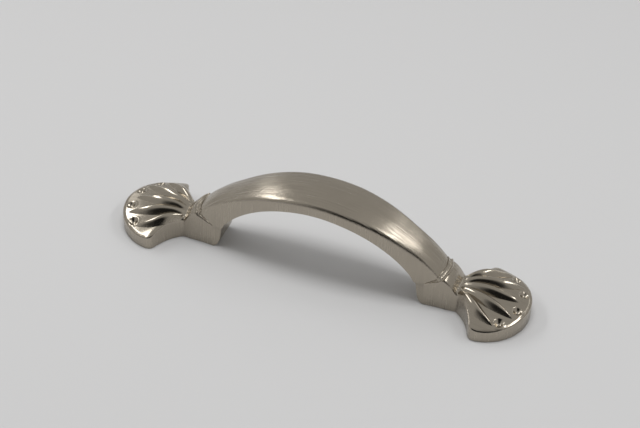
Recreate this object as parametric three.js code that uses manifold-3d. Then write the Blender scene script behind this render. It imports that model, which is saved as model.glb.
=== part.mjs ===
import * as THREE from 'three';
import { mergeVertices } from 'three/addons/utils/BufferGeometryUtils.js';
import Module from 'manifold-3d';

// A drawer pull cast as one lump: an arched bar on two feet, each foot ending in a small shell.
// Millimetres. X runs along the pull, Z away from the drawer front, and the back lies on Z = 0.
// The right half is described; the left half is its mirror image.

// Hang on the drawer front
const SCREW_CENTRES = 76.2;
const TAP_DRILL = 3.45;
const SCREW_DEPTH = 8.5;
const DRILL_POINT = 1;

// Arched bar
const TOP_HEIGHT = 28.7;
const TOP_RADIUS = 51;
const UNDER_HEIGHT = 25.05;
const UNDER_RADIUS = 37.8;
const BAR_CROWN = 1.1;
const END_CROWN = 2.4;
const CROWN_POWER = 2;
const END_POWER = 3.2;
const SLIM_FROM = 26;
const EDGE_ROUND = 1.5;
const END_ROUND = 0.8;
const EDGE_FALL = 0.75;
const BAR_PLAN = [[0, 7.8], [10, 7.7], [20, 6.9], [30, 5.7], [38, 5.05], [42, 4.95], [44.8, 4.75]];

// Foot under each end of the bar
const FOOT_INNER_TOP = 31.35;
const FOOT_INNER_BOTTOM = 32.6;
const ARCH_FOOT_HEIGHT = 7.8;
const FOOT_CORNER = 2.4;
const FOOT_SOFT = 1.5;

// Collar falling from the bead to the shell: x and height of its side edge
const COLLAR_EDGE = [[38.4, 11.1], [39.9, 10.9], [41.2, 10.25], [42.5, 9], [43.5, 7.5], [44.3, 6.5], [45, 6]];
const COLLAR_CROWN = 1.6;
const COLLAR_ROUND = 0.9;

// Bead round the bar's end: where it starts low on the side, and its top corners
const BEAD_POINT = [33.5, 7.9];
const BEAD_INNER = [38, 11.7];
const BEAD_OUTER = [39.9, 11.3];
const BEAD_UNDER = [[38, 10.4], [39.9, 10.8]];
const BEAD_PROUD = 0.3;
const BEAD_BOW = 1.25;
const BEAD_RISE = 1.25;
const BEAD_STEP = 0.3;
const BEAD_CROWN = 0.18;
const BEAD_FALL = 0.5;
const TAIL_DEPTH = 1.5;

// Shell
const RIM_CENTRE = 51.3;
const RIM_RADIUS = 14.5;
const NECK = [44.4, 4.75];
const HOLLOW = [48.6, 7.6];
const TIP_ROUND = 1.8;
const POLE = 45.4;
const ROOT_HEIGHT = 8;
const DOME_POWER = 2.2;
const RIM_STRIP = 0.06;
const RIM_DROP = 0.5;
const NECK_STRIP = 0.35;
const NECK_DROP = 0.9;
const NECK_REACH = 3;

// Height of the ground at the rim: turn in degrees from the pull's end, and height
const RIM_HEIGHTS = [[0, 5.6], [25, 5.3], [45, 4.85], [60, 4.35], [75, 4.15], [90, 4.6], [110, 4.8], [180, 4.8]];

// Ribs of the shell: middle line in plan, then half width and height along it
const RIB_PLANS = [
  [[45.1, 0], [50, 0], [56.5, 0], [62.6, 0]],
  [[44.9, 1.8], [49.6, 3.3], [56.6, 5.2], [62.2, 6.8]],
  [[44.8, 3.65], [48.1, 5.9], [52.2, 8.9], [57.4, 11.2]],
];
const RIB_HALF_WIDTHS = [0.6, 1.05, 1.4, 1.75, 1.95, 1.85, 1.45, 0.85, 0.1];
const RIB_HEIGHTS = [0.3, 0.8, 1.3, 1.7, 1.9, 1.75, 1.35, 0.8, 0.1];
const RIB_SECTION = [[-1, 0], [-0.7, 0.45], [-0.4, 0.82], [0, 1], [0.4, 0.82], [0.7, 0.45], [1, 0]];
const RIB_SINK = 0.6;

// Dimples between the rib tips
const DIMPLES = [[62.7, 3.65], [58.95, 9.75]];
const DIMPLE_RADIUS = 1.1;
const DIMPLE_FLOOR = 0.45;
const DIMPLE_DEPTH = 0.65;

// Fineness of the round forms
const BAR_STATIONS = 76;
const ARCH_STATIONS = 32;
const RIB_STATIONS = 12;
const BEAD_STATIONS = 20;
const TAIL_STATIONS = 10;
const CLEAR = 1;
const HAIR = 0.006;

const wasm = await Module();
wasm.setup();

// A closed surface turned into a solid
function solid(geometry) {
  const bare = geometry.clone();
  bare.deleteAttribute('normal');
  bare.deleteAttribute('uv');
  const merged = mergeVertices(bare, 1e-5);
  return new wasm.Manifold(new wasm.Mesh({
    numProp: 3,
    vertProperties: new Float32Array(merged.attributes.position.array),
    triVerts: new Uint32Array(merged.index.array),
  }));
}

// The same surface on the other side of X = 0 or Y = 0
function mirrored(geometry, x, y) {
  const copy = geometry.index ? geometry.toNonIndexed() : geometry.clone();
  const at = copy.attributes.position;
  for (let i = 0; i < at.count; i += 3) {
    const flip = x * y < 0;
    const order = flip ? [0, 2, 1] : [0, 1, 2];
    const corners = order.map((k) => new THREE.Vector3().fromBufferAttribute(at, i + k));
    corners.forEach((c, k) => at.setXYZ(i + k, c.x * x, c.y * y, c.z));
  }
  copy.deleteAttribute('normal');
  copy.deleteAttribute('uv');
  return mergeVertices(copy, 1e-6);
}

// A drum whose rings are moved onto outlines, one for each station along the body.
// Seen from the first station, every outline runs counterclockwise.
function loft(outlines) {
  const around = outlines[0].length;
  const steps = outlines.length - 1;
  const drum = new THREE.CylinderGeometry(1, 1, 1, around, steps);
  const at = drum.attributes.position;
  const middles = outlines.map((o) => o.reduce((m, p) => m.add(p), new THREE.Vector3()).divideScalar(around));
  for (let i = 0; i < at.count; i += 1) {
    const station = Math.round((0.5 - at.getY(i)) * steps);
    const turn = Math.atan2(at.getX(i), at.getZ(i)) / (2 * Math.PI);
    const place = Math.round((turn + 1) * around) % around;
    const onAxis = Math.hypot(at.getX(i), at.getZ(i)) < 0.5;
    const p = onAxis ? middles[station] : outlines[station][place];
    at.setXYZ(i, p.x, p.y, p.z);
  }
  return drum;
}

// Height of a smooth curve through points at one place along it
function curveAt(points, x) {
  const curve = new THREE.SplineCurve(points.map(([a, b]) => new THREE.Vector2(a, b)));
  let low = 0;
  let high = 1;
  for (let i = 0; i < 30; i += 1) {
    const half = (low + high) / 2;
    if (curve.getPoint(half).x < x) low = half;
    else high = half;
  }
  return curve.getPoint((low + high) / 2).y;
}

// Value part way along a list of evenly spaced values
function along(values, t) {
  const last = values.length - 1;
  const curve = new THREE.SplineCurve(values.map((v, i) => new THREE.Vector2(i / last, v)));
  return curve.getPoint(t).y;
}

function arcHeight(top, radius, x) {
  return top - radius + Math.sqrt(radius * radius - x * x);
}

// One upright slice through the bar or the collar: flat sides, rounded edges and a crowned top
function barSlice(x) {
  const reach = Math.abs(x);
  const half = curveAt(BAR_PLAN, reach);
  const onCollar = reach > BEAD_OUTER[0];
  const edge = onCollar ? curveAt(COLLAR_EDGE, reach) : arcHeight(TOP_HEIGHT, TOP_RADIUS, reach);
  const slim = THREE.MathUtils.smoothstep(reach, SLIM_FROM, BEAD_INNER[0]);
  const crown = onCollar ? COLLAR_CROWN : THREE.MathUtils.lerp(BAR_CROWN, END_CROWN, slim);
  const power = onCollar ? CROWN_POWER : THREE.MathUtils.lerp(CROWN_POWER, END_POWER, slim);
  const round = onCollar ? COLLAR_ROUND : THREE.MathUtils.lerp(EDGE_ROUND, END_ROUND, slim);
  const low = edge - round * EDGE_FALL;
  const top = (y) => edge + crown * (1 - Math.abs(y / half) ** power);
  const points = [[-half, 0], [-half, low]];
  for (let i = 1; i <= 4; i += 1) {
    const a = i / 4 * Math.PI / 2;
    const y = -half + round * (1 - Math.cos(a));
    points.push([y, low + (top(-half + round) - low) * Math.sin(a)]);
  }
  for (let i = 1; i < 6; i += 1) {
    const y = (half - round) * (i / 3 - 1);
    points.push([y, top(y)]);
  }
  for (let i = 5; i >= 0; i -= 1) points.push([-points[i][0], points[i][1]]);
  return points.map(([y, z]) => new THREE.Vector3(x, y, z));
}

function barBody() {
  const end = BAR_PLAN.at(-1)[0];
  const slices = [];
  for (let i = 0; i <= BAR_STATIONS; i += 1) slices.push(barSlice(end * (2 * i / BAR_STATIONS - 1)));
  return loft(slices);
}

// The finger arch with its two leaning foot faces, run through from front to back
function archTool() {
  const shape = new THREE.Shape();
  const points = [];
  const knee = [FOOT_INNER_TOP + 0.25, ARCH_FOOT_HEIGHT - FOOT_SOFT];
  const corner = [FOOT_INNER_TOP, ARCH_FOOT_HEIGHT + 0.2];
  const floor = FOOT_INNER_BOTTOM + 0.15;
  for (let i = 0; i <= ARCH_STATIONS; i += 1) {
    const x = (FOOT_INNER_TOP - FOOT_SOFT) * (2 * i / ARCH_STATIONS - 1);
    points.push([x, arcHeight(UNDER_HEIGHT, UNDER_RADIUS, x)]);
  }
  shape.moveTo(-floor, -CLEAR);
  shape.lineTo(-knee[0], knee[1]);
  shape.quadraticCurveTo(-corner[0], corner[1], points[0][0], points[0][1]);
  points.slice(1).forEach(([x, z]) => shape.lineTo(x, z));
  shape.quadraticCurveTo(corner[0], corner[1], knee[0], knee[1]);
  shape.lineTo(floor, -CLEAR);
  const depth = 2 * (BAR_PLAN[0][1] + CLEAR);
  const tool = new THREE.ExtrudeGeometry(shape, { depth, bevelEnabled: false, curveSegments: 5 });
  tool.rotateX(Math.PI / 2);
  tool.translate(0, depth / 2, 0);
  return tool;
}

// What is taken off each upright inner corner of a foot: nothing at the bead's point, most at the back
function cornerTool() {
  const outlines = [];
  for (let i = 0; i <= 4; i += 1) {
    const z = THREE.MathUtils.lerp(-0.5, BEAD_POINT[1], i / 4);
    const size = FOOT_CORNER * (1 - i / 4) + 0.05;
    const x = FOOT_INNER_BOTTOM - (FOOT_INNER_BOTTOM - FOOT_INNER_TOP) * Math.max(z, 0) / ARCH_FOOT_HEIGHT;
    const y = curveAt(BAR_PLAN, x + size) + 0.03;
    const ring = [];
    for (let k = 0; k <= 5; k += 1) {
      const a = k / 5 * Math.PI / 2;
      ring.push(new THREE.Vector3(x + size * (1 - Math.sin(a)), y - size * (1 - Math.cos(a)), z));
    }
    ring.push(new THREE.Vector3(x - CLEAR, y - size, z));
    ring.push(new THREE.Vector3(x - CLEAR, y + CLEAR, z));
    ring.push(new THREE.Vector3(x + size, y + CLEAR, z));
    outlines.push(ring);
  }
  return loft(outlines);
}

// Bead over the top: one slice across it for every step from side to side
function beadBody() {
  const slices = [];
  const half = curveAt(BAR_PLAN, BEAD_OUTER[0]) + BEAD_PROUD + 0.04;
  const base = BEAD_POINT[1] + CLEAR;
  const under = BEAD_UNDER.map((corner) => corner[1]);
  for (let i = 0; i <= BEAD_STATIONS; i += 1) {
    const y = -half * Math.cos(Math.PI * i / BEAD_STATIONS);
    const t = Math.abs(y) / half;
    const bow = BEAD_BOW * (1 - t * t);
    const rise = BEAD_RISE * (1 - t ** 4) ** 0.6;
    const inner = [BEAD_INNER[0] + bow, BEAD_INNER[1] + rise];
    const outer = [BEAD_OUTER[0] + bow, BEAD_OUTER[1] + rise - BEAD_FALL * (1 - t * t)];
    const feet = under.map((z) => THREE.MathUtils.lerp(base, z, t ** 6));
    const ring = [[inner[0] - 0.1, feet[0]], [inner[0], inner[1] - BEAD_STEP]];
    for (let k = 1; k < 6; k += 1) {
      const u = k / 6;
      const crown = BEAD_CROWN * Math.sin(u * Math.PI);
      const x = THREE.MathUtils.lerp(inner[0], outer[0], u);
      ring.push([x, THREE.MathUtils.lerp(inner[1], outer[1], u) + crown]);
    }
    ring.push([outer[0], outer[1] - BEAD_STEP + 0.05], [outer[0] - 0.1, feet[1]]);
    const slice = ring.map(([x, z]) => new THREE.Vector3(x, y, z));
    slices.push(slice.reverse());
  }
  return loft(slices);
}

// The bead's tail on one side face: a wedge that thins out to a point
function tailBody() {
  const end = BEAD_OUTER[0] - 0.2;
  const slices = [];
  for (let i = 0; i <= TAIL_STATIONS; i += 1) {
    const x = THREE.MathUtils.lerp(BEAD_POINT[0], end, i / TAIL_STATIONS);
    const rise = (x - BEAD_POINT[0]) / (BEAD_INNER[0] - BEAD_POINT[0]);
    const over = rise < 1
      ? THREE.MathUtils.lerp(BEAD_POINT[1], BEAD_INNER[1] - 0.2, rise)
      : THREE.MathUtils.mapLinear(x, BEAD_INNER[0], end, BEAD_INNER[1] - 0.2, BEAD_OUTER[1] - BEAD_STEP);
    const under = rise < 1
      ? THREE.MathUtils.lerp(BEAD_POINT[1], BEAD_UNDER[0][1], rise)
      : THREE.MathUtils.mapLinear(x, BEAD_INNER[0], end, BEAD_UNDER[0][1], BEAD_UNDER[1][1]);
    const face = curveAt(BAR_PLAN, x);
    const proud = THREE.MathUtils.lerp(-0.06, BEAD_PROUD, Math.min(1, rise));
    const deep = face - TAIL_DEPTH;
    const ring = [[face + proud, under], [face + proud, over + 0.1], [deep, over + 0.15], [deep, under - 0.05]];
    slices.push(ring.map(([y, z]) => new THREE.Vector3(x, -y, z)));
  }
  return loft(slices);
}

// Plan outline of the shell, counterclockwise from the middle of the neck
function shellOutline() {
  const turn = Math.PI / 2 - TIP_ROUND / RIM_RADIUS;
  const corner = [RIM_CENTRE - 0.15, RIM_RADIUS];
  const before = [corner[0] - TIP_ROUND * 0.35, corner[1] - TIP_ROUND];
  const hollow = new THREE.QuadraticBezierCurve(
    new THREE.Vector2(...NECK), new THREE.Vector2(...HOLLOW), new THREE.Vector2(...before));
  const rim = [Math.cos(turn) * RIM_RADIUS + RIM_CENTRE, Math.sin(turn) * RIM_RADIUS];
  const tip = new THREE.QuadraticBezierCurve(
    new THREE.Vector2(...before), new THREE.Vector2(...corner), new THREE.Vector2(...rim));
  const arc = new THREE.ArcCurve(RIM_CENTRE, 0, RIM_RADIUS, turn, 0, true);
  const back = NECK[0] - NECK_REACH;
  const half = [new THREE.Vector2(back, 0), new THREE.Vector2(back, NECK[1])];
  half.push(...hollow.getPoints(9), ...tip.getPoints(5).slice(1), ...arc.getPoints(15).slice(1));
  const other = half.slice(1, -1).map((p) => new THREE.Vector2(p.x, -p.y));
  return half.concat(other.reverse());
}

// Height of the domed ground between the ribs, falling from the neck to the rim's circle
function groundUnder(x, y) {
  const dx = x - POLE;
  const far = Math.max(Math.hypot(dx, y), 1e-6);
  const centre = RIM_CENTRE - POLE;
  const reach = centre * dx / far + Math.sqrt(RIM_RADIUS ** 2 - (centre * y / far) ** 2);
  const turn = Math.atan2(reach * Math.abs(y) / far, reach * dx / far - centre);
  const rim = curveAt(RIM_HEIGHTS, THREE.MathUtils.radToDeg(turn));
  return rim + (ROOT_HEIGHT - rim) * (1 - (far / reach) ** DOME_POWER);
}

// How far the ground rolls off near the shell's outline, more of it beside the neck
function rollOff(x, share) {
  const away = THREE.MathUtils.smoothstep(x, NECK[0], NECK[0] + 4);
  const width = THREE.MathUtils.lerp(NECK_STRIP, RIM_STRIP, away);
  const drop = THREE.MathUtils.lerp(NECK_DROP, RIM_DROP, away);
  return drop * Math.max(0, (share - 1 + width) / width) ** 2;
}

// A turned disc, pulled out to the shell's outline ring by ring
function fanBody() {
  const outline = shellOutline().reverse();
  const shares = [1, 0.98, 0.94, 0.87, 0.78, 0.66, 0.52, 0.36, 0.18];
  const profile = [new THREE.Vector2(0, 0), new THREE.Vector2(1, 0)];
  shares.forEach((s) => profile.push(new THREE.Vector2(s, 1)));
  profile.push(new THREE.Vector2(0, 1));
  const disc = new THREE.LatheGeometry(profile, outline.length);
  const at = disc.attributes.position;
  for (let i = 0; i < at.count; i += 1) {
    const share = Math.hypot(at.getX(i), at.getZ(i));
    const turn = Math.atan2(at.getX(i), at.getZ(i)) / (2 * Math.PI) + 1;
    const edge = outline[Math.round(turn * outline.length) % outline.length];
    const x = POLE + share * (edge.x - POLE);
    const y = share * edge.y;
    const z = at.getY(i) < 0.5 ? 0 : groundUnder(x, y) - rollOff(x, share);
    at.setXYZ(i, x, y, z);
  }
  return disc;
}

// Everything that stands over the shell's outline, to trim the ribs beside the neck.
// It stays a hair inside the side wall.
function outlineTool() {
  const inside = shellOutline().map((p) => p.clone().lerp(new THREE.Vector2(RIM_CENTRE, 0), HAIR));
  const shape = new THREE.Shape(inside);
  const depth = ROOT_HEIGHT + Math.max(...RIB_HEIGHTS) + CLEAR;
  return new THREE.ExtrudeGeometry(shape, { depth, bevelEnabled: false });
}

// A leaf-shaped rib with steep flanks and a rounded back, lying on the ground
function ribBody(plan) {
  const line = new THREE.CatmullRomCurve3(plan.map(([x, y]) => new THREE.Vector3(x, y, 0)));
  const slices = [];
  for (let i = 0; i <= RIB_STATIONS; i += 1) {
    const t = i / RIB_STATIONS;
    const p = line.getPoint(t);
    const run = line.getTangent(t);
    const half = along(RIB_HALF_WIDTHS, t);
    const height = along(RIB_HEIGHTS, t);
    const ring = RIB_SECTION.map(([u, v]) => {
      const x = p.x + run.y * half * -u;
      const y = p.y + run.x * half * u;
      return new THREE.Vector3(x, y, groundUnder(x, y) + height * v - 0.02);
    });
    const last = ring.at(-1);
    const first = ring[0];
    ring.push(new THREE.Vector3(last.x, last.y, last.z - RIB_SINK));
    ring.push(new THREE.Vector3(first.x, first.y, first.z - RIB_SINK));
    slices.push(ring);
  }
  return loft(slices);
}

// A round pit with sloping sides
function dimpleTool(x, y) {
  const ground = groundUnder(x, y);
  const profile = [
    new THREE.Vector2(0, ground - DIMPLE_DEPTH),
    new THREE.Vector2(DIMPLE_FLOOR, ground - DIMPLE_DEPTH * 0.8),
    new THREE.Vector2(DIMPLE_RADIUS, ground),
    new THREE.Vector2(DIMPLE_RADIUS + 0.4, ground + CLEAR),
    new THREE.Vector2(0, ground + CLEAR),
  ];
  const pit = new THREE.LatheGeometry(profile, 14);
  pit.rotateX(Math.PI / 2);
  pit.translate(x, y, 0);
  return pit;
}

// Blind hole for the mounting screw, drilled from the back
function screwTool(x) {
  const profile = [
    new THREE.Vector2(0, -CLEAR),
    new THREE.Vector2(TAP_DRILL / 2, -CLEAR),
    new THREE.Vector2(TAP_DRILL / 2, SCREW_DEPTH),
    new THREE.Vector2(0, SCREW_DEPTH + DRILL_POINT),
  ];
  const drill = new THREE.LatheGeometry(profile, 24);
  drill.rotateX(Math.PI / 2);
  drill.translate(x, 0, 0);
  return drill;
}

const ends = [1, -1];
const sides = [1, -1];
let casting = solid(barBody());
casting = casting.subtract(solid(archTool()));
ends.forEach((x) => {
  const fence = solid(mirrored(outlineTool(), x, 1));
  sides.forEach((y) => {
    casting = casting.subtract(solid(mirrored(cornerTool(), x, y)));
    casting = casting.add(solid(mirrored(tailBody(), x, y)));
  });
  casting = casting.add(solid(mirrored(beadBody(), x, 1)));
  casting = casting.add(solid(mirrored(fanBody(), x, 1)));
  RIB_PLANS.forEach((plan, i) => {
    sides.slice(0, i ? 2 : 1).forEach((y) => {
      const rib = solid(mirrored(ribBody(plan), x, y));
      casting = casting.add(rib.intersect(fence));
    });
  });
  DIMPLES.forEach(([px, py]) => {
    sides.forEach((y) => {
      casting = casting.subtract(solid(mirrored(dimpleTool(px, py), x, y)));
    });
  });
  casting = casting.subtract(solid(screwTool(x * SCREW_CENTRES / 2)));
});

// The finished solid as a surface with faceted shading
function surface(body) {
  const out = body.getMesh();
  const geometry = new THREE.BufferGeometry();
  const count = out.vertProperties.length / out.numProp;
  const places = new Float32Array(count * 3);
  for (let i = 0; i < count; i += 1) {
    for (let k = 0; k < 3; k += 1) places[3 * i + k] = out.vertProperties[i * out.numProp + k];
  }
  geometry.setAttribute('position', new THREE.BufferAttribute(places, 3));
  geometry.setIndex(new THREE.BufferAttribute(new Uint32Array(out.triVerts), 1));
  geometry.computeVertexNormals();
  return geometry;
}

const nickel = new THREE.MeshStandardMaterial({ color: 0x9a9186, metalness: 1, roughness: 0.32 });
const body = new THREE.Mesh(surface(casting), nickel);
body.name = 'handle_casting';

const handle = new THREE.Group();
handle.name = 'cabinet_handle';
handle.add(body);

export default handle;
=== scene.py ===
# %% [markdown]
# A cabinet pull: an arched bar on two feet, and each foot runs out into a small scallop shell.
# It is cast in one pour and plated in satin nickel, so it is one piece here too.
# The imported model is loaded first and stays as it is. The finer casting is built in the same place.

# %% Load the frame
import math

import bmesh
import bpy
import numpy as np
from mathutils import Matrix, Vector


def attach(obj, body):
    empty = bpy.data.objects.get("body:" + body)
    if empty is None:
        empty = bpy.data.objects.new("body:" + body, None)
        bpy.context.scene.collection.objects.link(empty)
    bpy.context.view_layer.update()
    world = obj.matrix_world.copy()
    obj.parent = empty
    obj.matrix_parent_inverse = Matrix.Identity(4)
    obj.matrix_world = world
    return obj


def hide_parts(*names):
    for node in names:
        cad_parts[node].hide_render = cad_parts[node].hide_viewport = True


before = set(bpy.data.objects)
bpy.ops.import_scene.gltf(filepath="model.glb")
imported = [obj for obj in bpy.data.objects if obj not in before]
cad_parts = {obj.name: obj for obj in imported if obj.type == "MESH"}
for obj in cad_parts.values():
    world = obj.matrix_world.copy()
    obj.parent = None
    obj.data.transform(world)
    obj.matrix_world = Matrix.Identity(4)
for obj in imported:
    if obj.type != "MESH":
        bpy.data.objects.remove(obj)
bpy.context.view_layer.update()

# %% [markdown]
# The sizes are in millimetres, as a pattern maker writes them. X runs along the pull, Z stands away
# from the drawer front, and the back lies on Z = 0. Only the quarter with X and Y above zero is
# described, because the pull is the same on all four.
# A casting's outlines are drawn as smooth curves through a few measured points. These helpers read
# such a curve, so that a size can be changed in one place and everything on it follows.

# %% Curves through measured points
MM = 0.001


def smooth_line(points, count=200):
    """Points spread along a smooth curve through the given ones."""
    p = np.array(points, float)
    last = len(p) - 1
    t = np.linspace(0, last, count)
    k = np.minimum(t.astype(int), last - 1)
    s = (t - k)[:, None]
    a, b, c, d = p[np.maximum(k - 1, 0)], p[k], p[k + 1], p[np.minimum(k + 2, last)]
    return b + 0.5 * s * ((c - a) + s * (2 * a - 5 * b + 4 * c - d + s * (3 * (b - c) + d - a)))


def height_over(points, x):
    """Height of the smooth curve through the points, over x."""
    line = smooth_line(points)
    return np.interp(x, line[:, 0], line[:, 1])


def along(values, t):
    """Value part way along a list of evenly spaced values."""
    spread_out = [(i / (len(values) - 1), v) for i, v in enumerate(values)]
    return height_over(spread_out, t)


def arc(top, radius, x):
    """Height of an arch, over x."""
    return top - radius + np.sqrt(np.maximum(radius**2 - x**2, 0))


def smoothstep(low, high, x):
    """0 below low, 1 above high, and smooth between them."""
    t = np.clip((x - low) / (high - low), 0, 1)
    return t * t * (3 - 2 * t)


def quadratic(start, pull, end, count):
    """Points along a curve from start to end that leans towards one point."""
    t = np.linspace(0, 1, count)[:, None]
    start, pull, end = map(np.array, (start, pull, end))
    return (1 - t) ** 2 * start + 2 * t * (1 - t) * pull + t**2 * end


# %% [markdown]
# Seen from above, a shell has a hollow side, a rounded tip and a rim that is part of a circle.
# The outline could be traced, but one radius and two curves keep it smooth at any fineness.
# The side ends half way round the tip and the rim starts there, so that the faces can turn the corner.

# %% Outline of the shell
NECK, HOLLOW = (44.4, 4.75), (48.6, 7.6)
RIM_CENTRE, RIM_RADIUS = 51.3, 14.5
TIP_CORNER, TIP_ROUND, TIP_LEAN = (RIM_CENTRE - 0.15, RIM_RADIUS), 1.8, 0.35
SIDE_POINTS, HALF_TIP_POINTS, RIM_POINTS = 200, 20, 300

tip_turn = math.pi / 2 - TIP_ROUND / RIM_RADIUS
before_tip = (TIP_CORNER[0] - TIP_LEAN * TIP_ROUND, TIP_CORNER[1] - TIP_ROUND)
after_tip = (RIM_CENTRE + RIM_RADIUS * math.cos(tip_turn), RIM_RADIUS * math.sin(tip_turn))
tip_line = quadratic(before_tip, TIP_CORNER, after_tip, 2 * HALF_TIP_POINTS + 1)
rim_turns = np.linspace(tip_turn, 0, RIM_POINTS)
rim_arc = np.stack([RIM_CENTRE + RIM_RADIUS * np.cos(rim_turns), RIM_RADIUS * np.sin(rim_turns)], 1)
hollow_line = quadratic(NECK, HOLLOW, before_tip, SIDE_POINTS)
side_line = np.concatenate([hollow_line, tip_line[1:HALF_TIP_POINTS + 1]])
outline = np.concatenate([side_line, tip_line[HALF_TIP_POINTS + 1:], rim_arc[1:]])
run = np.concatenate([[0], np.cumsum(np.hypot(*np.diff(outline, axis=0).T))])
tip_at = run[len(side_line) - 1]
print("Shell outline:", len(outline), "points,", run[-1].round(1), "mm from neck to middle of rim")

# %% Places along the outline and in from it
LOOK_AHEAD = 0.1


def at_length(length):
    return np.stack([np.interp(length, run, outline[:, k]) for k in (0, 1)], -1)


def on_outline(length, inset):
    """Point at a length along the outline, moved inwards."""
    length, inset = np.broadcast_arrays(np.asarray(length, float), inset)
    way = at_length(length + LOOK_AHEAD) - at_length(length - LOOK_AHEAD)
    way = way / np.hypot(way[..., 0], way[..., 1])[..., None]
    return at_length(length) + np.stack([way[..., 1], -way[..., 0]], -1) * inset[..., None]


def from_outline(x, y):
    """Distance of each place from the nearest point of the outline."""
    gaps = np.hypot(x.ravel()[:, None] - outline[:, 0], y.ravel()[:, None] - outline[:, 1])
    return gaps.min(1).reshape(x.shape)


print("Width of the shell at its tip:", 2 * at_length(tip_at)[1].round(2), "mm")

# %% [markdown]
# The top of the casting could be sculpted, but then every crease would be soft or ragged. Here it is
# one sheet of faces. Its rows run across the pull and its columns run along it, and the columns fan
# out over the shell as the ribs do. Each foot and crest of a rib is a column, which keeps it crisp.
# CELLS gives the number of faces between one such line and the next, from the middle to the edge.

# %% Layout of the columns
CELLS = [9, 18, 9, 9, 18, 9, 9, 10]
STRIP_CELLS, ROLL_CELLS = 3, 6
NECK_LAYOUT = [0, 0.6, 1.2, 1.8, 2.4, 3.05, 3.65, 4.25, 4.37]
RIB_POWER = 1.7
even_layout = np.concatenate([[0], np.cumsum(CELLS)]) / sum(CELLS)
neck_layout = np.array(NECK_LAYOUT) / NECK_LAYOUT[-1]
columns = sum(CELLS) + STRIP_CELLS + ROLL_CELLS


def between(features):
    """Even steps from each feature to the next one, without the last feature itself."""
    features = np.asarray(features, float)
    places = []
    for start, end, cells in zip(features, features[1:], CELLS):
        share = (np.arange(cells) / cells).reshape([-1] + [1] * (features.ndim - 1))
        places.append(start + (end - start) * share)
    return np.concatenate(places)


def edge_insets(border, radius):
    """Distances from the edge: across the border strip, then round the edge in equal turns."""
    turns = np.sin(np.linspace(0, math.pi / 2, ROLL_CELLS + 1))
    return np.concatenate([np.linspace(border, radius, STRIP_CELLS, endpoint=False), radius * (1 - turns)])


def rib_shape():
    """Height of the ribs in each column, from 0 at a foot to 1 at a crest."""
    ramps = [(0, 1), None, (-1, 0), (0, 1), None, (-1, 0), (0, 1), None]
    shape = []
    for ramp, cells in zip(ramps, CELLS):
        u = np.full(cells, 1.0) if ramp is None else np.linspace(*ramp, cells + 1)[:-1]
        shape.append(1 - np.abs(u) ** RIB_POWER)
    return np.concatenate(shape + [np.zeros(STRIP_CELLS + ROLL_CELLS + 1)])


print("Columns in a quarter:", columns)

# %% [markdown]
# Over the bar the rows go straight across. The bar is widest in the middle and slims towards the
# bead, and so does the round of its top edge. Each row bows as the bead does, so that the step at the
# bead needs no extra cut. A row also keeps how far its places lie from the edge, to round it later.

# %% Plan of the bar and its top edge
BAR_PLAN = [(0, 7.8), (10, 7.7), (20, 6.9), (30, 5.7), (38, 5.05), (42, 4.95), (44.8, 4.75)]
EDGE_ROUND, END_ROUND, COLLAR_ROUND, SHELL_ROUND = 2.2, 0.8, 0.9, 0.3
EDGE_FALL, END_FALL, COLLAR_FALL = 1.12, 0.6, 0.68
BEAD_START, BEAD_END, SLIM_FROM = 38, 39.9, 26
COLLAR_THIN, COLLAR_END = 42, 44.3


def bar_half(x):
    return height_over(BAR_PLAN, x)


def slimmed(x):
    """0 where the bar is full, 1 at its bead."""
    return smoothstep(SLIM_FROM, BEAD_START, x)


def edge_round(x):
    """Radius of the top edge along the pull."""
    on_bar = EDGE_ROUND + (END_ROUND - EDGE_ROUND) * slimmed(x)
    on_collar = COLLAR_ROUND + (SHELL_ROUND - COLLAR_ROUND) * smoothstep(COLLAR_THIN, COLLAR_END, x)
    return np.where(x > BEAD_END, on_collar, on_bar)


def edge_fall(x):
    """How far the side face starts below the top's edge line."""
    on_bar = EDGE_FALL + (END_FALL - EDGE_FALL) * slimmed(x)
    return np.where(x > BEAD_END, COLLAR_FALL, on_bar)


print("Bar's width in mm, in the middle and at the bead:", 2 * bar_half(0), 2 * bar_half(BEAD_START))

# %% Rows over the bar and the collar
BAR_ROWS, COLLAR_ROWS = 56, 34
BEAD_BOW, ROOT_BOW, BOW_FROM = 1.25, 0.4, 28
EDGE_BORDER, BORDER_FROM = 0.5, 36
FAN_FROM, FAN_TO = 20, 42
NECK_BORDER = NECK[1] - NECK_LAYOUT[-1]


def bar_row(x):
    half, radius = float(bar_half(x)), float(edge_round(x))
    narrowed = (NECK_BORDER - SHELL_ROUND - EDGE_BORDER) * smoothstep(BORDER_FROM, COLLAR_END, x)
    border = radius + EDGE_BORDER + narrowed
    share = even_layout + (neck_layout - even_layout) * smoothstep(FAN_FROM, FAN_TO, x)
    y = np.concatenate([between(share * (half - border)), half - edge_insets(border, radius)])
    bow = BEAD_BOW * smoothstep(BOW_FROM, BEAD_START, x)
    bow += (ROOT_BOW - BEAD_BOW) * smoothstep(BEAD_END, COLLAR_END, x)
    return np.stack([x + bow * (1 - (y / half) ** 2), y, half - y], 1)


bar_stations = np.concatenate([
    np.linspace(0, BEAD_START, BAR_ROWS, endpoint=False),
    np.linspace(BEAD_START, COLLAR_END, COLLAR_ROWS),
])
bar_rows = [bar_row(x) for x in bar_stations]
print("Rows over the bar and the collar:", len(bar_rows))

# %% [markdown]
# Five ribs fan out from the neck: one along the middle and two on each side. Each has a curved middle
# line and a width that swells and tapers. A row meets every rib at the same share of its length, so
# a rib's crest and feet stay on their own columns however the rib bends.

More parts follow.
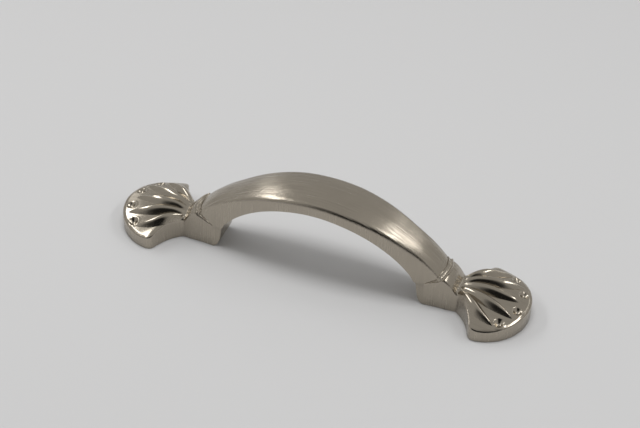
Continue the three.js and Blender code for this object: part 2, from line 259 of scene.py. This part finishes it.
# %% Rows along the ribs
RIB_PLANS = [
    [(45.1, 0), (50, 0), (56.5, 0), (62.6, 0)],
    [(44.9, 1.8), (49.6, 3.3), (56.6, 5.2), (62.2, 6.8)],
    [(44.8, 3.65), (48.1, 5.9), (52.2, 8.9), (57.4, 11.2)],
]
RIB_HALF_WIDTHS = [0.6, 1.05, 1.4, 1.75, 1.95, 1.85, 1.45, 0.85, 0.06]
RIB_ROWS, RIB_POINTS = 96, 401
RIM_STRIP, STRIP_GROWS = 0.9, 0.35
EDGE_START, EDGE_REST = 0.3, 2.6
rib_lines = [smooth_line(plan, RIB_POINTS) for plan in RIB_PLANS]


def border_at(v):
    """Width of the strip along the edge, narrow beside the neck."""
    return NECK_BORDER + (RIM_STRIP - NECK_BORDER) * smoothstep(0, STRIP_GROWS, v)


def with_gap(places, gaps):
    return np.column_stack([places, gaps])


def rib_features(v):
    """Feet and crests of the ribs at a share of their length, from the middle to the edge."""
    features = []
    half = along(RIB_HALF_WIDTHS, v)
    for line in rib_lines:
        k = v * (len(line) - 1)
        middle = np.array([np.interp(k, np.arange(len(line)), line[:, a]) for a in (0, 1)])
        ahead = line[min(int(k) + 1, len(line) - 1)] - line[min(int(k), len(line) - 2)]
        across = np.array([-ahead[1], ahead[0]]) / np.hypot(*ahead)
        features += [middle - across * half, middle, middle + across * half]
    return features[1:]


def edge_places(v, shift, insets):
    """Places from the border strip to the edge, sliding towards the tip as the shift grows."""
    start = EDGE_START + (tip_at - EDGE_REST - EDGE_START) * v
    slide = EDGE_REST - RIM_STRIP
    return on_outline(start + shift * (slide + insets), insets)


def rib_row(v):
    """Row that meets every rib at the same share of its length."""
    insets = edge_insets(border_at(v), SHELL_ROUND)
    edge = edge_places(v, 0, insets)
    inner = between(rib_features(v) + [edge[0]])
    return with_gap(np.concatenate([inner, edge]), np.concatenate([from_outline(*inner.T), insets]))


rib_rows = [rib_row(v) for v in np.linspace(0, 1, RIB_ROWS)]
print("Rows along the ribs:", len(rib_rows))

# %% [markdown]
# The ribs end before the rim. The last rows leave their tips, straighten out and follow the rim
# round the fan, first across a flat strip and then over the rounded edge.

# %% Rows from the rib tips to the rim
RIM_ROWS, TIP_SPAN = 14, 0.15
rim_insets = edge_insets(RIM_STRIP, SHELL_ROUND)


def rim_lengths(gap):
    """Lengths along the outline where the last rows meet it, one for each feature."""
    lengths = [run[-1], run[-1] - TIP_SPAN]
    for line in rib_lines[1:]:
        nearest = run[np.argmin(np.hypot(*(outline - line[-1]).T))]
        lengths += [nearest + TIP_SPAN, nearest, nearest - TIP_SPAN]
    return lengths + [tip_at + RIM_STRIP - gap]


def rim_row(gap):
    """Row at one distance from the rim. At the tip it turns the corner with the side's columns."""
    lengths = np.concatenate([between(rim_lengths(gap)), tip_at + rim_insets - gap])
    gaps = np.concatenate([np.full(sum(CELLS), gap), np.minimum(rim_insets, gap)])
    return with_gap(on_outline(lengths, gaps), gaps)


def row_between(share):
    """Row part way from the rib tips to the border strip of the rim."""
    near, far = rib_rows[-1], rim_row(RIM_STRIP)
    inner = near[:sum(CELLS), :2] + (far - near)[:sum(CELLS), :2] * share
    edge = edge_places(1, share, rim_insets)
    return with_gap(np.concatenate([inner, edge]), np.concatenate([from_outline(*inner.T), rim_insets]))


rim_rows = [row_between(share) for share in np.linspace(0, 1, RIM_ROWS + 1)[1:-1]]
rim_rows += [rim_row(gap) for gap in rim_insets]
plan = np.stack(bar_rows + rib_rows + rim_rows)
X, Y, GAP = plan[..., 0], plan[..., 1], plan[..., 2]
print("Rows in all:", len(plan), "and faces in a quarter:", (len(plan) - 1) * columns)

# %% [markdown]
# Each place of the sheet is now lifted to its height. The bar is arched and crowned, and its crown
# grows towards the bead. The collar behind the bead falls to the shell. Height functions do this
# better than pushed faces, because every edge line and every crown is one named size.

# %% Height of the bar and the collar
TOP_HEIGHT, TOP_RADIUS = 28.7, 51
BAR_CROWN, END_CROWN, COLLAR_CROWN = 1.1, 2.4, 1.6
CROWN_POWER, END_POWER = 2, 3.2
COLLAR_EDGE = [(38.4, 11.1), (39.9, 10.9), (41.2, 10.25), (42.5, 9), (43.5, 7.5), (44.3, 6.5), (45, 6)]
COLLAR_FROM, DIVE = 38.9, 3


def rolled(height, depth, from_edge, radius):
    """A surface turned down round its edge."""
    out = np.clip(1 - from_edge / radius, 0, 1)
    return height - depth * (1 - np.sqrt(1 - out**2))


def bar_height(x, y):
    """Height of the bar, of its collar, and of the end that dives under the shell."""
    half, radius = bar_half(x), edge_round(x)
    inner = np.minimum(y, half - radius)
    on_collar = smoothstep(COLLAR_FROM, BEAD_END, x)
    edge = arc(TOP_HEIGHT, TOP_RADIUS, x) * (1 - on_collar) + height_over(COLLAR_EDGE, x) * on_collar
    edge = edge - DIVE * np.maximum(x - COLLAR_EDGE[-1][0], 0)
    crown = BAR_CROWN + (END_CROWN - BAR_CROWN) * slimmed(x)
    crown = crown + (COLLAR_CROWN - crown) * on_collar
    power = CROWN_POWER + (END_POWER - CROWN_POWER) * slimmed(x) * (1 - on_collar)
    top = edge + crown * (1 - (inner / half) ** power)
    return rolled(top, top - edge + edge_fall(x), half - y, radius)


print("Top of the bar in mm:", bar_height(0.0, 0.0).round(2))

# %% [markdown]
# The shell is a low dome that falls from the neck to the rim, and the rim itself is higher at the
# point of the fan and at the tips than between them. A punch leaves a small bowl with a soft lip
# between two rib tips. The bowls are part of the height too: cut with a ball they would show facets.

# %% Height of the shell
POLE, ROOT_HEIGHT, DOME_POWER = 45.4, 8, 2.2
RIM_HEIGHTS = [(0, 5.6), (25, 5.3), (45, 4.85), (60, 4.35), (75, 4.15), (90, 4.6), (110, 4.8), (180, 4.8)]
RIM_DROP, NECK_STRIP, NECK_DROP, NECK_RUN = 0.22, 1.9, 0.9, 4
DIMPLES = [(62.7, 3.65), (58.95, 9.75)]
DIMPLE_RADIUS, DIMPLE_FLOOR, DIMPLE_DEPTH = 1.6, 0.2, 1
DIMPLE_LIP, LIP_WIDTH = 0.08, 0.3


def ground(x, y):
    """Domed ground between the ribs, falling from the neck to the rim."""
    dx = x - POLE
    far = np.maximum(np.hypot(dx, y), 1e-9)
    centre = RIM_CENTRE - POLE
    reach = centre * dx / far + np.sqrt(RIM_RADIUS**2 - (centre * y / far) ** 2)
    turn = np.degrees(np.arctan2(reach * y / far, reach * dx / far - centre))
    rim = height_over(RIM_HEIGHTS, turn)
    return rim + (ROOT_HEIGHT - rim) * (1 - (far / reach) ** DOME_POWER)


def dimple(x, y):
    """Bowl with a soft raised lip, punched between two rib tips."""
    lift = 0
    for spot in DIMPLES:
        away = np.hypot(x - spot[0], y - spot[1])
        bowl = 1 - smoothstep(DIMPLE_FLOOR, DIMPLE_RADIUS, away)
        lip = np.exp(-(((away - DIMPLE_RADIUS) / LIP_WIDTH) ** 2))
        lift = lift + DIMPLE_LIP * lip - DIMPLE_DEPTH * bowl
    return lift


def shell_height(x, y, gap, border, rib):
    beside_neck = 1 - smoothstep(NECK[0], NECK[0] + NECK_RUN, x)
    fall = NECK_DROP * beside_neck * np.maximum(0, 1 - gap / NECK_STRIP) ** 2
    fall = fall + RIM_DROP * np.maximum(0, 1 - gap / border)
    return rolled(ground(x, y) + dimple(x, y) - fall + rib, SHELL_ROUND, gap, SHELL_ROUND)


print("Deepest place of a dimple in mm:", dimple(*np.array(DIMPLES[0])).round(2))

# %% [markdown]
# The bar's end and the shell overlap at the neck. The higher of the two is kept, with a small fillet
# in the corner, as the mould has one there.

# %% Height of the whole top
RIB_HEIGHTS = [0, 0.65, 1.3, 1.7, 1.9, 1.75, 1.35, 0.8, 0]
SHELL_FROM, BAR_LIMIT, NECK_FILLET, NOWHERE = 42.5, POLE + 0.6, 0.25, -10.0


def softer_max(a, b, blend):
    """The higher of two surfaces, with a small fillet where they meet."""
    near = np.maximum(blend - np.abs(a - b), 0) / blend
    return np.maximum(a, b) + near**2 * blend / 4


rib_run = np.concatenate([
    np.full(len(bar_rows), RIB_HEIGHTS[0]),
    along(RIB_HEIGHTS, np.linspace(0, 1, RIB_ROWS)),
    np.zeros(len(rim_rows)),
])
borders = np.concatenate([
    np.full(len(bar_rows), NECK_BORDER),
    border_at(np.linspace(0, 1, RIB_ROWS)),
    np.full(len(rim_rows), RIM_STRIP),
])
ribs = rib_run[:, None] * rib_shape()
shell_z = np.where(X > SHELL_FROM, shell_height(X, Y, GAP, borders[:, None], ribs), NOWHERE)
bar_z = np.where(X < BAR_LIMIT, bar_height(np.minimum(X, BAR_LIMIT), Y), NOWHERE)
Z = softer_max(bar_z, shell_z, NECK_FILLET)
print("Highest and lowest place of the top in mm:", Z.max().round(2), Z.min().round(2))

# %% [markdown]
# A grid is the quickest start for a sheet: Blender makes it flat, and each corner then moves to its
# place. The outer border is pulled down to the floor, the quarter is mirrored twice, the bottom is
# closed, and a narrow bevel softens the bottom edge as plating does.

# %% Sheet of the quarter


def lifted_quarter():
    bm = bmesh.new()
    rows = len(plan) - 1
    bmesh.ops.create_grid(bm, x_segments=rows, y_segments=columns, size=0.5)
    for v in bm.verts:
        i, j = round((v.co.x + 0.5) * rows), round((v.co.y + 0.5) * columns)
        v.tag = i == rows or j == columns
        v.co = Vector((X[i, j], Y[i, j], Z[i, j])) * MM
    return bm


def pull_down(bm, to):
    """Extrudes the tagged border, and moves the new edge as the function says."""
    border = [e for e in bm.edges if e.is_boundary and e.verts[0].tag and e.verts[1].tag]
    made = bmesh.ops.extrude_edge_only(bm, edges=border)["geom"]
    fresh = [g for g in made if isinstance(g, bmesh.types.BMVert)]
    for v in bm.verts:
        v.tag = False
    for v in fresh:
        v.co.z = to(v.co.z)
        v.tag = True


# %% The blank
BOTTOM_ROUND, SHARP_STEP, MERGE = 0.25, 0.3, 1e-6


def to_object(name, bm):
    mesh = bpy.data.meshes.new(name)
    bm.to_mesh(mesh)
    bm.free()
    made = bpy.data.objects.new(name, mesh)
    bpy.context.scene.collection.objects.link(made)
    return made


def blank():
    """The casting before the beads, the arch and the holes. A first narrow wall keeps the edge crisp."""
    bm = lifted_quarter()
    pull_down(bm, lambda z: z - SHARP_STEP * MM)
    pull_down(bm, lambda z: 0)
    for axis in "XY":
        bmesh.ops.mirror(bm, geom=bm.verts[:] + bm.edges[:] + bm.faces[:], axis=axis, merge_dist=MERGE)
    bmesh.ops.remove_doubles(bm, verts=bm.verts, dist=MERGE)
    open_edges = [e for e in bm.edges if e.is_boundary]
    bottom = bmesh.ops.contextual_create(bm, geom=open_edges)["faces"]
    bmesh.ops.recalc_face_normals(bm, faces=bm.faces)
    edges = [e for f in bottom for e in f.edges]
    bmesh.ops.bevel(bm, geom=edges, offset=BOTTOM_ROUND * MM, segments=2, profile=0.5,
                    affect="EDGES", material=-1)
    return bm


casting = to_object("casting", blank())
print("Blank:", len(casting.data.polygons), "faces")

# %% [markdown]
# What stands proud of the blank is joined to it, and what is hollow is cut away. The bodies for that
# are simple: a ring of points is skinned to the next one. They are drawn at one end or one corner of
# the pull and mirrored to the others.

# %% Bodies skinned over rings


def loft(rings):
    bm = bmesh.new()
    loops = []
    for ring in rings:
        verts = [bm.verts.new(Vector(p) * MM) for p in ring]
        loops.append([bm.edges.new(pair) for pair in zip(verts, verts[1:] + verts[:1])])
    for near, far in zip(loops, loops[1:]):
        bmesh.ops.bridge_loops(bm, edges=near + far)
    for end in (loops[0], loops[-1]):
        bmesh.ops.contextual_create(bm, geom=end)
    return bm


def mirrored(bm, axes):
    for axis in axes:
        bmesh.ops.mirror(bm, geom=bm.verts[:] + bm.edges[:] + bm.faces[:], axis=axis, merge_dist=-1)
    bmesh.ops.recalc_face_normals(bm, faces=bm.faces)
    return bm


# %% [markdown]
# Each body is joined or cut with a boolean, which is worked out at once and kept as plain mesh. So
# each step can be counted, and nothing is left live. The manifold solver needs closed bodies and
# gives back a closed casting.

# %% Join or cut a body


def worked(target, operation, name, bm):
    """Joins a body to the casting, or cuts it away, and keeps the result as the mesh."""
    tool = to_object(name, bm)
    step = target.modifiers.new(name, "BOOLEAN")
    step.operation, step.solver, step.object = operation, "MANIFOLD", tool
    ready = target.evaluated_get(bpy.context.evaluated_depsgraph_get())
    mesh = bpy.data.meshes.new_from_object(ready)
    target.modifiers.clear()
    old, target.data = target.data, mesh
    bpy.data.meshes.remove(old)
    bpy.data.meshes.remove(tool.data)
    print(name, "done:", len(mesh.polygons), "faces")


# %% [markdown]
# The bead is the raised ring between the bar and its collar. Over the top it has a hollow and a
# rounded ridge, and down each side face it narrows to a point on the foot. One folded ribbon makes
# all of that: its section is carried over the crest, round the rolled edge and down to the point.
# Separate bodies for top and side would leave a knot at the corner.

# %% Border lines of the bead
CREST_STEPS, ROLL_STEPS, SIDE_STEPS = 20, 5, 22
ROLL_TURN, SIDE_FROM = 55, 0.05
BEAD_POINT = (33.5, 7.9)
BEAD_SIDE_INNER, BEAD_SIDE_OUTER = (38.2, 11.4), (39.8, 10.9)


def bead_line(x, side):
    """Places along one border of the bead, from the crest to its point, and their tilt."""
    half, radius = float(bar_half(x)), float(edge_round(x))
    roll = np.linspace(0, math.radians(ROLL_TURN), ROLL_STEPS + 1)[1:]
    y = np.concatenate([np.linspace(0, half - radius, CREST_STEPS), half - radius + radius * np.sin(roll)])
    over = x + BEAD_BOW * (1 - (y / half) ** 2)
    z = bar_height(over, y)
    tilt = np.arctan2(-np.gradient(z, y), 1)
    share = np.linspace(SIDE_FROM, 1, SIDE_STEPS)
    down = side[0] + (BEAD_POINT[0] - side[0]) * share
    places = np.concatenate([
        np.stack([over, y, z], 1),
        np.stack([down, bar_half(down), side[1] + (BEAD_POINT[1] - side[1]) * share], 1),
    ])
    return places, np.concatenate([tilt, np.full(SIDE_STEPS, math.pi / 2)])


# %% Bead over the top and down both side faces
BEAD_SECTION = [
    (0, -0.4), (0.03, -0.14), (0.08, 0), (0.14, 0.02), (0.24, -0.08), (0.4, -0.18), (0.54, -0.16),
    (0.64, -0.02), (0.72, 0.17), (0.8, 0.25), (0.87, 0.22), (0.94, 0.08), (0.98, -0.1), (1, -0.4),
]
BEAD_LIFT, TAIL_LIFT, BEAD_BASE = 0.18, 0.24, 0.6
BEAD_OVERLAP, FULL_WIDTH = 0.02, 1.5


def bead():
    inner, inner_tilt = bead_line(BEAD_START, BEAD_SIDE_INNER)
    outer, outer_tilt = bead_line(BEAD_END, BEAD_SIDE_OUTER)
    rings = []
    for i in range(len(inner)):
        tilt = (inner_tilt[i] + outer_tilt[i]) / 2
        out = np.array([0, math.sin(tilt), math.cos(tilt)])
        near, far = inner[i], outer[i] + np.array([BEAD_OVERLAP, 0, 0])
        narrow = min(1, np.hypot(*(far - near)[[0, 2]]) / FULL_WIDTH)
        lift = BEAD_LIFT + (TAIL_LIFT - BEAD_LIFT) * math.sin(tilt)
        ring = [near - out * BEAD_BASE * narrow]
        ring += [near + (far - near) * u + out * (lift + up) * narrow for u, up in BEAD_SECTION]
        ring.append(far - out * BEAD_BASE * narrow)
        rings.append(ring)
    other = [[p * np.array([1, -1, 1]) for p in ring] for ring in rings[:0:-1]]
    return mirrored(loft(other + rings), "X")


worked(casting, "UNION", "beads", bead())

# %% [markdown]
# Fingers reach under the arch. Its opening is one outline pushed through the casting: an arc, a soft
# knee and the slightly sloped inner face of each foot. A boolean cut leaves the crisp lower edge that
# the photograph shows.

# %% Arch
UNDER_HEIGHT, UNDER_RADIUS = 25.05, 37.8
FOOT_INNER_TOP, FOOT_INNER_BOTTOM, ARCH_FOOT_HEIGHT = 31.35, 32.6, 7.8
FOOT_SOFT, KNEE_RISE, KNEE_OUT, SLOPE_ON = 1.5, 0.2, 0.25, 0.15
ARCH_STEPS, KNEE_STEPS, ARCH_HALF_WIDTH, CLEAR = 60, 10, 12, 1


def arch_line():
    """Half of the opening's outline, from the middle of the pull to below the floor."""
    reach = FOOT_INNER_TOP - FOOT_SOFT
    line = [(x, float(arc(UNDER_HEIGHT, UNDER_RADIUS, x))) for x in np.linspace(0, reach, ARCH_STEPS)]
    corner = (FOOT_INNER_TOP, ARCH_FOOT_HEIGHT + KNEE_RISE)
    below = (FOOT_INNER_TOP + KNEE_OUT, ARCH_FOOT_HEIGHT - FOOT_SOFT)
    knee = quadratic(line[-1], corner, below, KNEE_STEPS)
    return line + [tuple(p) for p in knee[1:]] + [(FOOT_INNER_BOTTOM + SLOPE_ON, -CLEAR)]


def arch():
    line = arch_line()
    line = [(-x, z) for x, z in line[:0:-1]] + line
    bm = bmesh.new()
    face = bm.faces.new([bm.verts.new(Vector((x, -ARCH_HALF_WIDTH, z)) * MM) for x, z in line])
    made = bmesh.ops.extrude_face_region(bm, geom=[face])["geom"]
    fresh = [g for g in made if isinstance(g, bmesh.types.BMVert)]
    bmesh.ops.translate(bm, vec=Vector((0, 2 * ARCH_HALF_WIDTH, 0)) * MM, verts=fresh)
    bmesh.ops.recalc_face_normals(bm, faces=bm.faces)
    return bm


worked(casting, "DIFFERENCE", "arch", arch())

# %% [markdown]
# Two small things soften each foot. The last strip of the side face turns inwards a little, as a
# file would leave it, and the lower inner corner is rounded. Both are cut with a simple body,
# because they cross the arch's cut edge, which the sheet of faces doesn't know.

# %% Facets and corners of the feet
FACET_START, FACET_DEPTH, FACET_BOTTOM, FACET_FULL, FACET_TOP = 34.3, 1, -0.5, 6.4, 8.4
FACET_SKIN, CORNER_SINK = 0.05, 0.2
FOOT_CORNER, CORNER_STEPS = 2.4, 13


def foot_facet():
    """Wedge that turns the last strip of each side face inwards and fades out under the bead."""
    rings = []
    x = FOOT_INNER_TOP - CLEAR
    near, far = float(bar_half(FACET_START)), float(bar_half(x))
    for z, share in ((FACET_BOTTOM, 1), (FACET_FULL, 1), (FACET_TOP, 0)):
        turned_in = far + (near - FACET_DEPTH - far) * share + FACET_SKIN * (1 - share)
        outside = far + CLEAR
        rings.append([(FACET_START, near, z), (x, turned_in, z), (x, outside, z), (FACET_START, outside, z)])
    return mirrored(loft(rings), "XY")


def foot_round():
    """Rounds the lower inner corner of each foot, from the front through to the back."""
    x, z = FOOT_INNER_BOTTOM + FOOT_CORNER - CORNER_SINK, FOOT_CORNER
    line = [(x - FOOT_CORNER * math.sin(a), z - FOOT_CORNER * math.cos(a))
            for a in np.linspace(0, math.pi / 2, CORNER_STEPS)]
    line += [(FOOT_INNER_TOP - CLEAR, z), (FOOT_INNER_TOP - CLEAR, -CLEAR), (x, -CLEAR)]
    reach = BAR_PLAN[0][1]
    return mirrored(loft([[(x, y, z) for x, z in line] for y in (-reach, reach)]), "X")


worked(casting, "DIFFERENCE", "foot facets", foot_facet())
worked(casting, "DIFFERENCE", "foot corners", foot_round())

# %% [markdown]
# Each foot has a blind hole for the screw that comes through the drawer front. A drill leaves a
# straight wall and a shallow cone, so the hole is that profile spun once round its axis.

# %% Screw holes
SCREW_CENTRES, TAP_DRILL, SCREW_DEPTH, DRILL_POINT, HOLE_STEPS = 76.2, 3.45, 8.5, 1, 48


def turned(profile, x, steps):
    """A profile of radius and height, spun round an upright axis."""
    bm = bmesh.new()
    verts = [bm.verts.new(Vector((x + r, 0, z)) * MM) for r, z in profile]
    edges = [bm.edges.new(pair) for pair in zip(verts, verts[1:])]
    bmesh.ops.spin(bm, geom=verts + edges, cent=Vector((x, 0, 0)) * MM, axis=(0, 0, 1),
                   angle=math.tau, steps=steps, use_merge=True)
    bmesh.ops.remove_doubles(bm, verts=bm.verts, dist=MERGE / 10)
    return bm


def screw_hole():
    radius, top = TAP_DRILL / 2, SCREW_DEPTH + DRILL_POINT
    profile = [(0, -CLEAR), (radius, -CLEAR), (radius, SCREW_DEPTH), (0, top)]
    return mirrored(turned(profile, SCREW_CENTRES / 2, HOLE_STEPS), "X")


worked(casting, "DIFFERENCE", "screw holes", screw_hole())

# %% [markdown]
# Plating runs softly over all curved faces and keeps the real creases. Smooth shading does the first,
# and an angle tells it which edges stay crisp.

# %% Smooth faces and crisp edges
CRISP = 24
casting.data.shade_smooth()
casting.data.set_sharp_from_angle(angle=math.radians(CRISP))
triangles = sum(len(p.vertices) - 2 for p in casting.data.polygons)
print("Casting:", triangles, "triangles")

# %% [markdown]
# Satin nickel is plating over a brushed casting, so the metal is one shader and the brush is in its
# roughness, colour and bump. Shader maths reads better as Python, so a small class wraps a socket and
# adds a Math node for each operator.

# %% Shader maths as expressions


class Value:
    """A number socket that can be used in an expression."""

    def __init__(self, tree, socket):
        self.tree, self.socket = tree, socket

    def node(self, kind, settings=None, **inputs):
        made = self.tree.nodes.new(kind)
        for name, setting in (settings or {}).items():
            setattr(made, name, setting)
        for name, value in inputs.items():
            place = int(name[1:]) if name[0] == "_" else name.replace("_", " ")
            feed(self.tree, made.inputs[place], value)
        return made

    def maths(self, operation, *values):
        inputs = {f"_{i}": v for i, v in enumerate(values)}
        made = self.node("ShaderNodeMath", {"operation": operation}, **inputs)
        return Value(self.tree, made.outputs[0])

    def __add__(self, other):
        return self.maths("ADD", self, other)

    def __sub__(self, other):
        return self.maths("SUBTRACT", self, other)

    def __rsub__(self, other):
        return self.maths("SUBTRACT", other, self)

    def __mul__(self, other):
        return self.maths("MULTIPLY", self, other)

    def __abs__(self):
        return self.maths("ABSOLUTE", self)

    __radd__, __rmul__ = __add__, __mul__

    def between(self, low, high):
        """0 below low, 1 above high, and smooth between them."""
        made = self.node("ShaderNodeMapRange", {"interpolation_type": "SMOOTHSTEP"},
                         Value=self, From_Min=low, From_Max=high)
        return Value(self.tree, made.outputs[0])


def feed(tree, socket, value):
    """Links a value to a socket, or sets the socket to a plain number, colour or vector."""
    if isinstance(value, Value):
        tree.links.new(value.socket, socket)
    elif isinstance(value, bpy.types.NodeSocket):
        tree.links.new(value, socket)
    else:
        socket.default_value = value


# %% [markdown]
# The real pull is brushed upright on its side faces and along the bar on top, and the shells are
# smoother and brighter. Two masks tell these places apart: how far a face looks upwards, and how far
# along the pull it lies. The lines are noise stretched in one direction, at the scale of the brush.

# %% Satin nickel
LOOKS_UP, BAR_ENDS = (0.35, 0.7), (0.040, 0.046)
UPRIGHT, UPRIGHT_SCALE = (1, 1, 0.04), 3200
LENGTHWISE, LENGTHWISE_SCALE = (0.03, 1, 0.03), 2400
EVEN, CLOUD_SCALE = (1, 1, 1), 160
SHELL_ROUGH, SIDE_ROUGH, BAR_ROUGH = 0.15, 0.11, 0.08
SIDE_BRUSH, BAR_BRUSH, SHELL_BRUSH = 0.45, 0.95, 0.05
DARK_NICKEL, PALE_NICKEL = (0.355, 0.317, 0.261, 1), (0.505, 0.456, 0.38, 1)
BRUSH_DEPTH, BRUSH_ROUGH, CLOUD_ROUGH = 0.00012, 0.2, 0.05
BRUSH_SHARE, CLOUD_SHARE = 0.7, 0.3


def satin_nickel():
    made = bpy.data.materials.new("satin_nickel")
    made.use_nodes = True
    tree = made.node_tree
    start = Value(tree, None)
    shader = tree.nodes["Principled BSDF"]
    places = start.node("ShaderNodeTexCoord")
    parts = start.node("ShaderNodeSeparateXYZ", Vector=places.outputs["Object"])
    facing = start.node("ShaderNodeSeparateXYZ", Vector=places.outputs["Normal"])
    on_top = abs(Value(tree, facing.outputs["Z"])).between(*LOOKS_UP)
    on_bar = 1 - abs(Value(tree, parts.outputs["X"])).between(*BAR_ENDS)

    def lines(stretch, scale):
        stretched = start.node("ShaderNodeMapping", Vector=places.outputs["Object"], Scale=stretch)
        noise = start.node("ShaderNodeTexNoise", Vector=stretched.outputs[0], Scale=scale, Detail=3.0)
        return Value(tree, noise.outputs[0])

    clouds, upright = lines(EVEN, CLOUD_SCALE), lines(UPRIGHT, UPRIGHT_SCALE)
    brush = upright * (1 - on_top) + lines(LENGTHWISE, LENGTHWISE_SCALE) * on_top
    strength = (1 - on_top) * SIDE_BRUSH + on_top * (on_bar * BAR_BRUSH + SHELL_BRUSH)
    rough = SHELL_ROUGH + (1 - on_top) * SIDE_ROUGH + on_top * on_bar * BAR_ROUGH
    rough = rough + (brush - 0.5) * strength * BRUSH_ROUGH + (clouds - 0.5) * CLOUD_ROUGH
    feed(tree, shader.inputs["Roughness"], rough)
    blend = clouds * CLOUD_SHARE + brush * BRUSH_SHARE
    colour = start.node("ShaderNodeMix", {"data_type": "RGBA"}, Factor=blend)
    colour.inputs[6].default_value = DARK_NICKEL
    colour.inputs[7].default_value = PALE_NICKEL
    feed(tree, shader.inputs["Base Color"], colour.outputs[2])
    bump = start.node("ShaderNodeBump", Height=brush * strength, Strength=1.0, Distance=BRUSH_DEPTH)
    feed(tree, shader.inputs["Normal"], bump.outputs[0])
    shader.inputs["Metallic"].default_value = 1
    print("Satin nickel:", len(tree.nodes), "nodes")
    return made


casting.data.materials.clear()
casting.data.materials.append(satin_nickel())
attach(casting, "root")
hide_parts("handle_casting")

# %% [markdown]
# In the photograph the pull lies on a plain pale board. A single large face is enough for it. It is
# part of the stage, not of the pull.

# %% Floor
BOARD_COLOUR, BOARD_ROUGH, BOARD_SIZE = (0.57, 0.57, 0.573, 1), 0.7, 3


def board():
    bm = bmesh.new()
    bmesh.ops.create_grid(bm, x_segments=1, y_segments=1, size=BOARD_SIZE)
    made = to_object("floor", bm)
    paint = bpy.data.materials.new("pale_board")
    paint.use_nodes = True
    shader = paint.node_tree.nodes["Principled BSDF"]
    shader.inputs["Base Color"].default_value = BOARD_COLOUR
    shader.inputs["Roughness"].default_value = BOARD_ROUGH
    made.data.materials.append(paint)
    print("Board:", 2 * BOARD_SIZE, "m square")


board()

# %% [markdown]
# Bare metal shows what it mirrors, so the light stands where the bright and the dark places in the
# photograph point to. The room is evenly bright but for one dark patch in front, on the camera's
# side. That patch draws the black flanks of the ribs.

# %% Room
ROOM, DARK_SIDE, ROOM_COLOUR = 0.46, 0.445, (1, 0.99, 0.975, 1)
DARK_FACING, DARK_NEAR, DARK_FAR = (168, 26), 20, 42


def compass(turn, rise):
    """Direction by its turn from straight behind the pull, clockwise, and its rise."""
    a, e = math.radians(turn), math.radians(rise)
    return Vector((math.sin(a) * math.cos(e), math.cos(a) * math.cos(e), math.sin(e)))


def room():
    world = bpy.data.worlds.new("room")
    world.use_nodes = True
    bpy.context.scene.world = world
    tree = world.node_tree
    start = Value(tree, None)
    sky = start.node("ShaderNodeTexCoord").outputs["Generated"]
    toward = start.node("ShaderNodeVectorMath", {"operation": "DOT_PRODUCT"}, _0=sky)
    toward.inputs[1].default_value = compass(*DARK_FACING)
    near, far = (math.cos(math.radians(angle)) for angle in (DARK_NEAR, DARK_FAR))
    dark = Value(tree, toward.outputs["Value"]).between(far, near)
    backdrop = tree.nodes["Background"]
    feed(tree, backdrop.inputs["Strength"], ROOM - dark * DARK_SIDE)
    backdrop.inputs["Color"].default_value = ROOM_COLOUR


room()

# %% [markdown]
# Two long soft boxes stand left and right of the pull and give the two glows on the bar. Each has a
# weaker sweep towards the back. A wide light overhead throws the soft shadow on the board. It isn't
# mirrored in the metal, because the photograph shows no bright line along the top edge.

# %% Lamps
AWAY = 0.8


def strip(name, start, end, width, radiance):
    """Long soft light between two directions."""
    near, far = compass(*start) * AWAY, compass(*end) * AWAY
    middle, length = (near + far) / 2, (far - near).length
    light = bpy.data.lights.new(name, "AREA")
    light.shape, light.size, light.size_y = "RECTANGLE", length, width
    light.energy = radiance * math.pi * length * width
    side, back = (far - near).normalized(), middle.normalized()
    up = back.cross(side)
    made = bpy.data.objects.new(name, light)
    made.matrix_world = Matrix([(side[k], up[k], back[k], middle[k]) for k in range(3)] + [(0, 0, 0, 1)])
    bpy.context.scene.collection.objects.link(made)
    print(name, "is", round(length, 2), "m long")
    return made


strip("left box", (-118, 46), (-58, 37), 0.11, 5.2)
strip("left sweep", (-58, 37), (-38, 8), 0.08, 0.7)
strip("right box", (104, 51), (48, 45), 0.08, 6.6)
strip("right sweep", (48, 45), (18, 14), 0.07, 0.9)
overhead = strip("overhead", (80, 76), (-100, 76), 0.22, 10)
overhead.visible_glossy = False

# %% [markdown]
# The camera stands as in the photograph: in front, a little to the right, looking down.
# Its place and its long lens were fitted to points of both shells and to the outlines of the bar.

# %% Camera
VIEW_TURN, VIEW_RISE, VIEW_ROLL = 20.36, 40.65, 1.45
VIEW_DISTANCE, VIEW_POINT, LENS = 499.99, (-5.87, 13.13, 7.7), 90.54
SENSOR, NEAREST = 36, 0.01


def camera():
    back = compass(180 - VIEW_TURN, VIEW_RISE)
    right = Vector((math.cos(math.radians(VIEW_TURN)), math.sin(math.radians(VIEW_TURN)), 0))
    up = back.cross(right)
    roll = math.radians(VIEW_ROLL)
    side, over = right * math.cos(roll) + up * math.sin(roll), up * math.cos(roll) - right * math.sin(roll)
    place = (Vector(VIEW_POINT) + back * VIEW_DISTANCE) * MM
    data = bpy.data.cameras.new("camera")
    data.lens, data.sensor_width, data.clip_start = LENS, SENSOR, NEAREST
    made = bpy.data.objects.new("camera", data)
    made.matrix_world = Matrix([(side[k], over[k], back[k], place[k]) for k in range(3)] + [(0, 0, 0, 1)])
    bpy.context.scene.collection.objects.link(made)
    bpy.context.scene.camera = made
    print("Camera in mm:", [round(c / MM) for c in place])


camera()
bpy.context.scene.view_settings.view_transform = "Standard"
